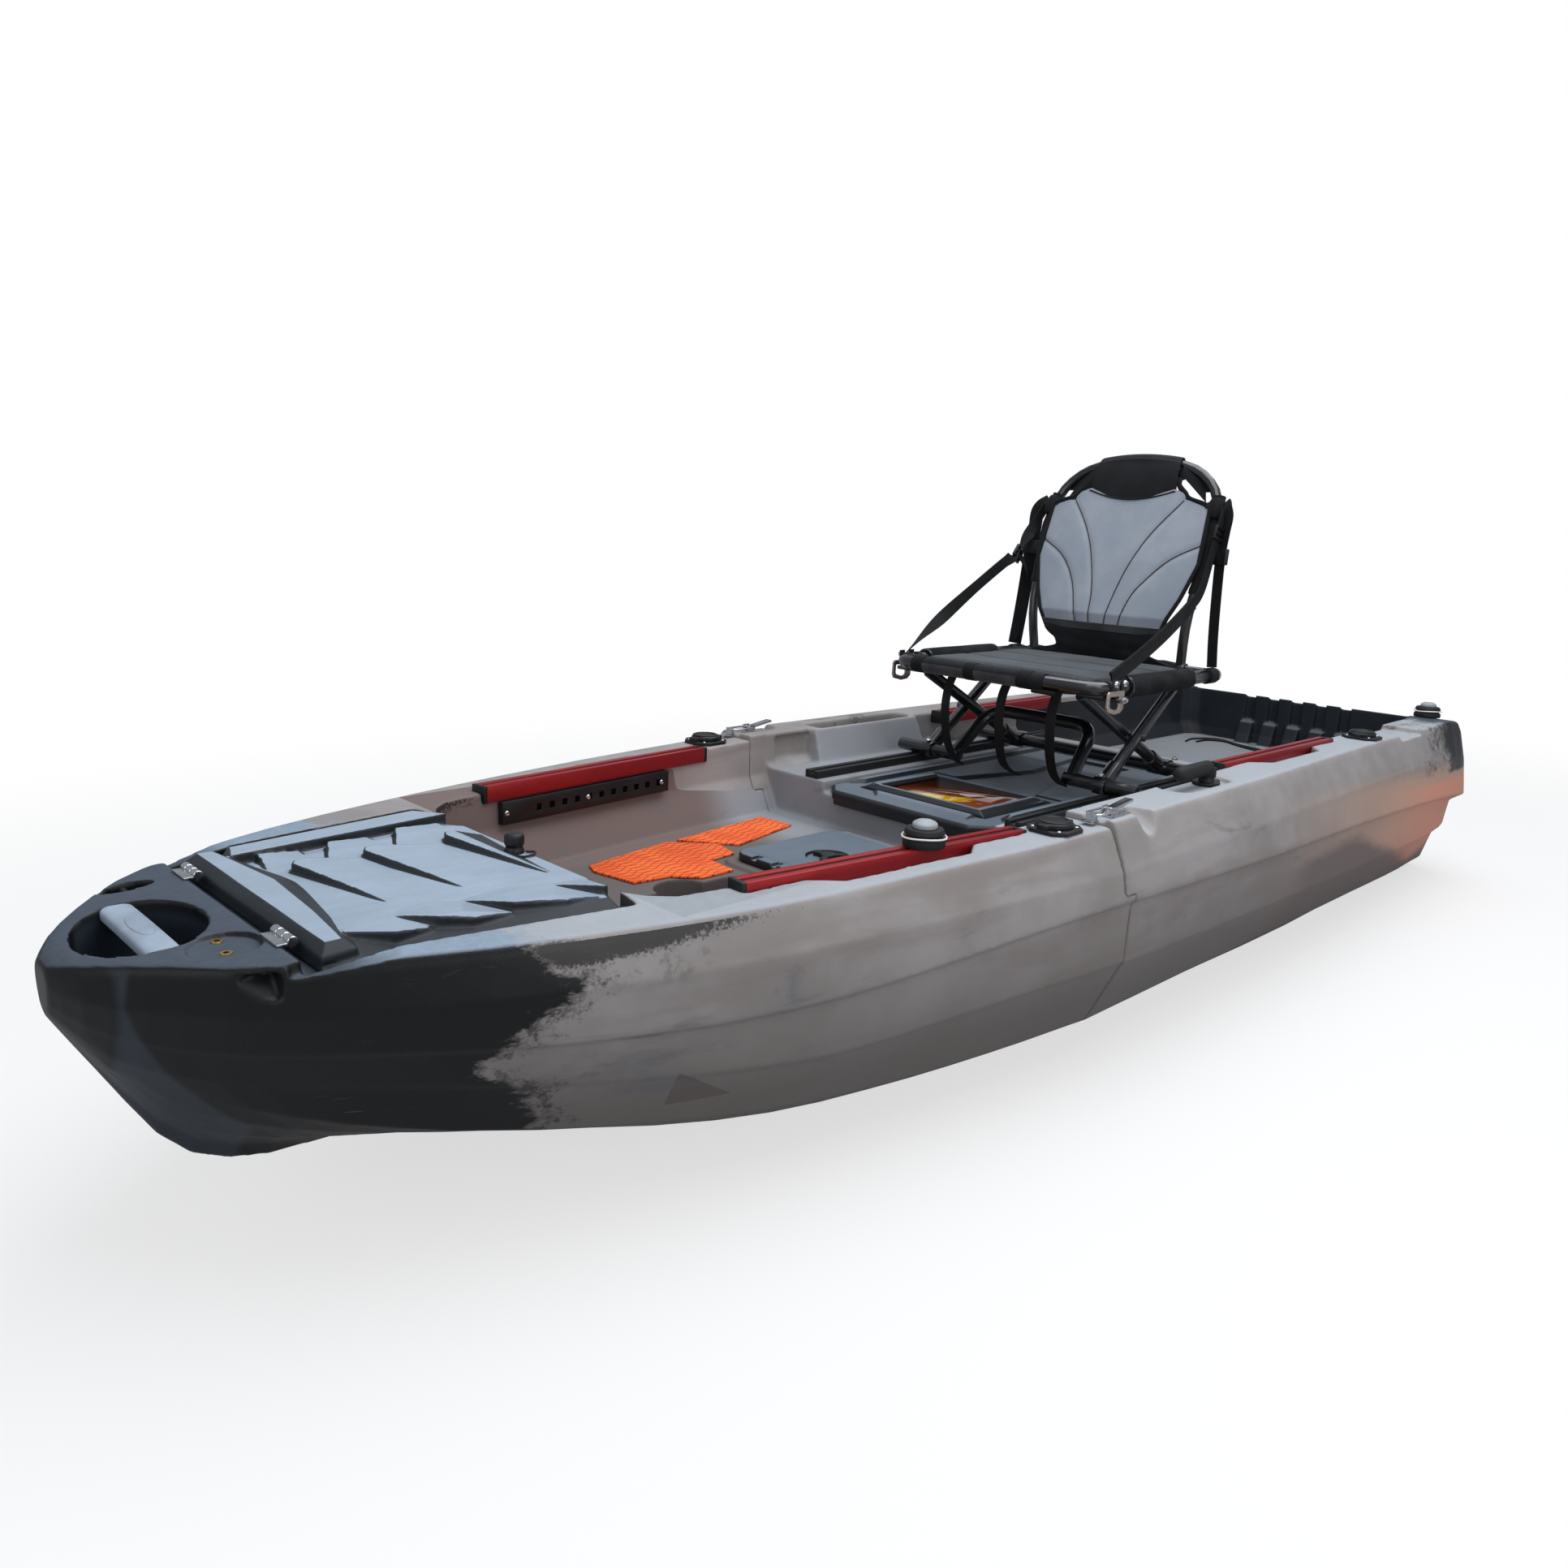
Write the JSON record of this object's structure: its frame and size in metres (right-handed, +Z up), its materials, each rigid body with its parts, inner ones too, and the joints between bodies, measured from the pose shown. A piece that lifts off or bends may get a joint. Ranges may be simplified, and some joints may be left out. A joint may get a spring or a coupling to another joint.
{
  "type": "sit-on-top fishing kayak",
  "caption": "Two-piece sit-on-top fishing kayak with folding raised seat, hatches, gear rails, rod holders and open tank well.",
  "frame": {"origin": "centre of the bounding box's underside, on the keel's plane", "axes": "+X towards the bow, +Y to port, +Z up"},
  "size_m": [3, 0.9406, 0.962],
  "materials": {
    "grey_hull": "rotomoulded polyethylene, warm grey marbled into black at the ends, satin",
    "lid_plastic": "moulded polyethylene, blue-grey, satin",
    "black_plastic": "injection-moulded nylon, black, satin",
    "grey_plastic": "moulded plastic, light grey, satin",
    "amber_window": "tinted clear acrylic, amber, glossy",
    "red_anodised": "extruded aluminium, red anodised, satin",
    "orange_foam": "EVA foam mat, orange, embossed with wavy diamonds",
    "black_tube": "aluminium tube, gloss black powder coat",
    "bright_steel": "polished stainless steel",
    "plate_steel": "stainless steel plate, tumbled",
    "seat_fabric": "woven polyester over thin padding, charcoal",
    "back_mesh": "spacer mesh, grey, with dark stitched lines and a black head panel",
    "webbing": "polypropylene webbing, black",
    "cord": "shock cord, black"
  },
  "bodies": {
    "hull": {"front_hull": "grey_hull", "rear_hull": "grey_hull", "bow_handle": "lid_plastic", "bow_tie_bar": "bright_steel", "centre_hatch_lid": "lid_plastic", "stern_mount_base": "black_plastic", "rudder_base": "black_plastic", "tank_cord": "cord", "front_lid_hinge_port": "bright_steel", "front_floor_mat_port": "orange_foam", "rear_floor_mat_port": "orange_foam", "front_gear_rail_port": "red_anodised", "rear_gear_rail_port": "red_anodised", "foot_track_port": "black_plastic", "seat_track_port": "black_plastic", "front_rod_socket_port": "black_plastic", "rear_rod_socket_port": "black_plastic", "toggle_base_port": "bright_steel", "toggle_keeper_port": "bright_steel", "front_lid_hinge_starboard": "bright_steel", "front_floor_mat_starboard": "orange_foam", "rear_floor_mat_starboard": "orange_foam", "front_gear_rail_starboard": "red_anodised", "rear_gear_rail_starboard": "red_anodised", "foot_track_starboard": "black_plastic", "seat_track_starboard": "black_plastic", "front_rod_socket_starboard": "black_plastic", "rear_rod_socket_starboard": "black_plastic", "toggle_base_starboard": "bright_steel", "toggle_keeper_starboard": "bright_steel"},
    "front_lid": {"front_hatch_lid": "lid_plastic", "lid_knob": "black_plastic"},
    "floor_hatch": {"floor_hatch_cover": "lid_plastic"},
    "hatch_latch": {"twist_latch": "black_plastic"},
    "centre_flap": {"window_flap": "lid_plastic", "amber_window": "amber_window"},
    "rail_mount": {"rail_mount_base": "black_plastic"},
    "rail_mount_top": {"rail_mount_cap": "grey_plastic"},
    "stern_mount_top": {"stern_mount_cap": "grey_plastic"},
    "rudder_arm": {"rudder_lever": "black_plastic"},
    "seat_front": {"seat_front_frame": "black_tube", "outer_seat_leg_port": "black_tube", "outer_seat_leg_starboard": "black_tube"},
    "seat_rear": {"seat_rear_bar": "black_tube", "inner_seat_leg_port": "black_tube", "inner_seat_leg_starboard": "black_tube"},
    "seat_pan": {"pan_frame": "black_tube", "pan_sling": "seat_fabric", "backrest_frame": "black_tube", "backrest_cover": "back_mesh", "latch_plate_port": "plate_steel", "latch_plate_starboard": "plate_steel", "side_strap_port": "webbing", "side_strap_starboard": "webbing"},
    "front_rod_cap_body_port": {"front_rod_cap_port": "black_plastic"},
    "rear_rod_cap_body_port": {"rear_rod_cap_port": "black_plastic"},
    "toggle_lever_body_port": {"toggle_lever_port": "bright_steel"},
    "front_rod_cap_body_starboard": {"front_rod_cap_starboard": "black_plastic"},
    "rear_rod_cap_body_starboard": {"rear_rod_cap_starboard": "black_plastic"},
    "toggle_lever_body_starboard": {"toggle_lever_starboard": "bright_steel"}
  },
  "joints": [
    {"name": "front_lid_hinge", "type": "hinge", "parent": "hull", "child": "front_lid", "pos_m": [1.313, 0, 0.386], "axis": [0, 1, 0], "range_deg": [0, 100]},
    {"name": "floor_hatch_hinge", "type": "hinge", "parent": "hull", "child": "floor_hatch", "pos_m": [0.507, 0, 0.2813], "axis": [0, 1, 0], "range_deg": [0, 95]},
    {"name": "hatch_latch_turn", "type": "hinge", "parent": "floor_hatch", "child": "hatch_latch", "pos_m": [0.398, 0.016, 0.28], "axis": [0, 0, 1], "range_deg": [0, 90]},
    {"name": "centre_flap_hinge", "type": "hinge", "parent": "hull", "child": "centre_flap", "pos_m": [-0.05, 0, 0.3353], "axis": [0, -1, 0], "range_deg": [0, 70]},
    {"name": "rail_mount_slide", "type": "slide", "parent": "hull", "child": "rail_mount", "axis": [0.9936, -0.1129, 0], "range_m": [-0.14, 0.26]},
    {"name": "rail_mount_cap_lift", "type": "slide", "parent": "rail_mount", "child": "rail_mount_top", "axis": [0, 0, 1], "range_m": [0, 0.04]},
    {"name": "stern_mount_cap_lift", "type": "slide", "parent": "hull", "child": "stern_mount_top", "axis": [0, 0, 1], "range_m": [0, 0.04]},
    {"name": "rudder_turn", "type": "hinge", "parent": "hull", "child": "rudder_arm", "pos_m": [-0.15, 0.3757, 0.42], "axis": [0, 0, 1], "range_deg": [-60, 60]},
    {"name": "seat_fold", "type": "hinge", "parent": "hull", "child": "seat_front", "pos_m": [-0.114, 0, 0.3671], "axis": [0, -1, 0], "range_deg": [0, 27]},
    {"name": "seat_scissor", "type": "hinge", "parent": "seat_front", "child": "seat_rear", "pos_m": [-0.2226, 0, 0.4459], "axis": [0, -1, 0], "range_deg": [-48.3, 0]},
    {"name": "seat_level", "type": "hinge", "parent": "seat_rear", "child": "seat_pan", "pos_m": [-0.062, 0, 0.531], "axis": [0, -1, 0], "range_deg": [0, 21.3]},
    {"name": "front_rod_cap_hinge_port", "type": "hinge", "parent": "hull", "child": "front_rod_cap_body_port", "pos_m": [0.292, 0.3861, 0.4096], "axis": [0, -1, 0], "range_deg": [0, 110]},
    {"name": "rear_rod_cap_hinge_port", "type": "hinge", "parent": "hull", "child": "rear_rod_cap_body_port", "pos_m": [-0.892, 0.3653, 0.4202], "axis": [0, -1, 0], "range_deg": [0, 110]},
    {"name": "toggle_hinge_port", "type": "hinge", "parent": "hull", "child": "toggle_lever_body_port", "pos_m": [0.2, 0.4004, 0.4104], "axis": [0, 1, 0], "range_deg": [0, 100]},
    {"name": "front_rod_cap_hinge_starboard", "type": "hinge", "parent": "hull", "child": "front_rod_cap_body_starboard", "pos_m": [0.292, -0.3861, 0.4096], "axis": [0, -1, 0], "range_deg": [0, 110]},
    {"name": "rear_rod_cap_hinge_starboard", "type": "hinge", "parent": "hull", "child": "rear_rod_cap_body_starboard", "pos_m": [-0.892, -0.3653, 0.4202], "axis": [0, -1, 0], "range_deg": [0, 110]},
    {"name": "toggle_hinge_starboard", "type": "hinge", "parent": "hull", "child": "toggle_lever_body_starboard", "pos_m": [0.2, -0.4004, 0.4104], "axis": [0, 1, 0], "range_deg": [0, 100]}
  ],
  "couplings": [
    {"joint": "seat_scissor", "follows": "seat_fold", "ratio": -1.785},
    {"joint": "seat_level", "follows": "seat_fold", "ratio": 0.785}
  ]
}
